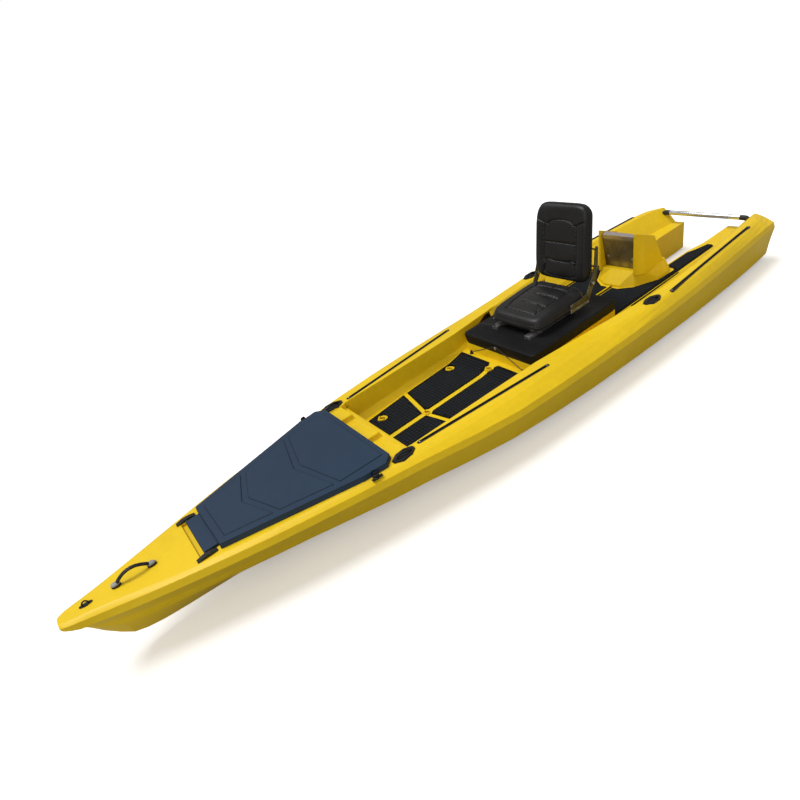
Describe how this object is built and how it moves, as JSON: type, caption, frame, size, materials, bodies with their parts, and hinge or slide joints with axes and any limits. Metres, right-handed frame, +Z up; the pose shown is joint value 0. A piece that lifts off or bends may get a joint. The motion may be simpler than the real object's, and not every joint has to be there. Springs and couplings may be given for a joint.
{
  "type": "motorized kayak",
  "caption": "Sit-on-top fishing kayak hull with a hinged bow hatch, sliding tractor seat, deck gear tracks and a stern motor well with a clamp-on transom",
  "frame": {"origin": "middle of the hull's length and beam, at the underside of the keel strips", "axes": "+X port, +Y aft, +Z up; the bow points along -Y"},
  "size_m": [1.082, 4.67, 0.9103],
  "materials": {
    "hull_yellow": "rotomoulded polyethylene, satin yellow",
    "lid_blue_grey": "rotomoulded polyethylene, dark slate",
    "black_rubber": "black sponge rubber or soft grip rubber",
    "black_nylon": "moulded black nylon",
    "grey_foam": "closed cell foam mat with a fine square grid",
    "base_plastic": "moulded black plastic with an anti-slip top",
    "black_vinyl": "sewn black vinyl over foam",
    "zinc_steel": "zinc plated steel",
    "olive_zinc": "olive passivated steel",
    "stained_steel": "weathered stainless sheet",
    "grey_cap": "grey moulded caps",
    "sealed_board": "sealed marine plywood",
    "anodised_aluminium": "anodised tube",
    "bungee_black": "braided elastic cord"
  },
  "bodies": {
    "hull": {"bar_elbow_port": "black_rubber", "bar_elbow_starboard": "black_rubber", "bow_handle": "black_nylon", "bow_handle_cap_aft": "grey_cap", "bow_handle_cap_fore": "grey_cap", "bow_pad_eye": "black_nylon", "bungee_cord": "bungee_black", "bungee_eye_port": "black_nylon", "bungee_eye_starboard": "black_nylon", "bungee_hook": "zinc_steel", "carry_handle_front_port": "black_nylon", "carry_handle_front_starboard": "black_nylon", "carry_handle_rear_port": "black_nylon", "carry_handle_rear_starboard": "black_nylon", "drain_plug": "black_nylon", "floor_mat_front_port": "grey_foam", "floor_mat_front_starboard": "grey_foam", "floor_mat_rear_port": "grey_foam", "floor_mat_rear_starboard": "grey_foam", "gear_track_front_port": "black_nylon", "gear_track_front_starboard": "black_nylon", "gear_track_rear_port": "black_nylon", "gear_track_rear_starboard": "black_nylon", "hatch_gasket": "black_rubber", "hinge_bracket_port": "black_nylon", "hinge_bracket_starboard": "black_nylon", "hinge_pin_port": "zinc_steel", "hinge_pin_starboard": "zinc_steel", "hull": "hull_yellow", "latch_base_port": "black_nylon", "latch_base_starboard": "black_nylon", "mat_edge_strip_port": "grey_foam", "mat_edge_strip_starboard": "grey_foam", "rear_mat_port": "grey_foam", "rear_mat_starboard": "grey_foam", "seat_base": "base_plastic", "slide_rail_lower_port": "zinc_steel", "slide_rail_lower_starboard": "zinc_steel", "stern_bar": "anodised_aluminium", "transom_board": "sealed_board", "transom_bolt_port": "zinc_steel", "transom_bolt_starboard": "zinc_steel", "transom_plate": "stained_steel"},
    "hatch_lid": {"hatch_lid": "lid_blue_grey"},
    "latch_port": {"latch_knob_port": "black_nylon"},
    "latch_starboard": {"latch_knob_starboard": "black_nylon"},
    "seat": {"seat_pan": "zinc_steel", "seat_cushion": "black_vinyl", "slide_rail_upper_port": "zinc_steel", "slide_rail_upper_starboard": "zinc_steel", "recliner_lower_port": "olive_zinc", "recliner_lower_starboard": "olive_zinc", "pivot_bolt_port": "zinc_steel", "pivot_bolt_starboard": "zinc_steel"},
    "slide_lever": {"slide_lever": "black_nylon"},
    "backrest": {"back_cushion": "black_vinyl", "back_shell": "black_nylon", "recliner_upper_port": "olive_zinc", "recliner_upper_starboard": "olive_zinc"}
  },
  "joints": [
    {"name": "hatch_hinge", "type": "hinge", "parent": "hull", "child": "hatch_lid", "pos_m": [0, -1.75, 0.3335], "axis": [1, 0, 0], "range_deg": [0, 100]},
    {"name": "latch_turn_port", "type": "hinge", "parent": "hull", "child": "latch_port", "pos_m": [0.351, -0.999, 0.342], "axis": [0, 0, 1], "range_deg": [0, 90]},
    {"name": "latch_turn_starboard", "type": "hinge", "parent": "hull", "child": "latch_starboard", "pos_m": [-0.351, -0.999, 0.342], "axis": [0, 0, 1], "range_deg": [-90, 0]},
    {"name": "seat_slide", "type": "slide", "parent": "hull", "child": "seat", "axis": [0, 1, 0], "range_m": [-0.06, 0.06]},
    {"name": "slide_lever_turn", "type": "hinge", "parent": "seat", "child": "slide_lever", "pos_m": [-0.138, 0.252, 0.354], "axis": [0, 0, 1], "range_deg": [0, 15], "stiffness_Nm_per_rad": 0.5},
    {"name": "backrest_fold", "type": "hinge", "parent": "seat", "child": "backrest", "pos_m": [0, 0.733, 0.478], "axis": [1, 0, 0], "range_deg": [0, 55]}
  ]
}
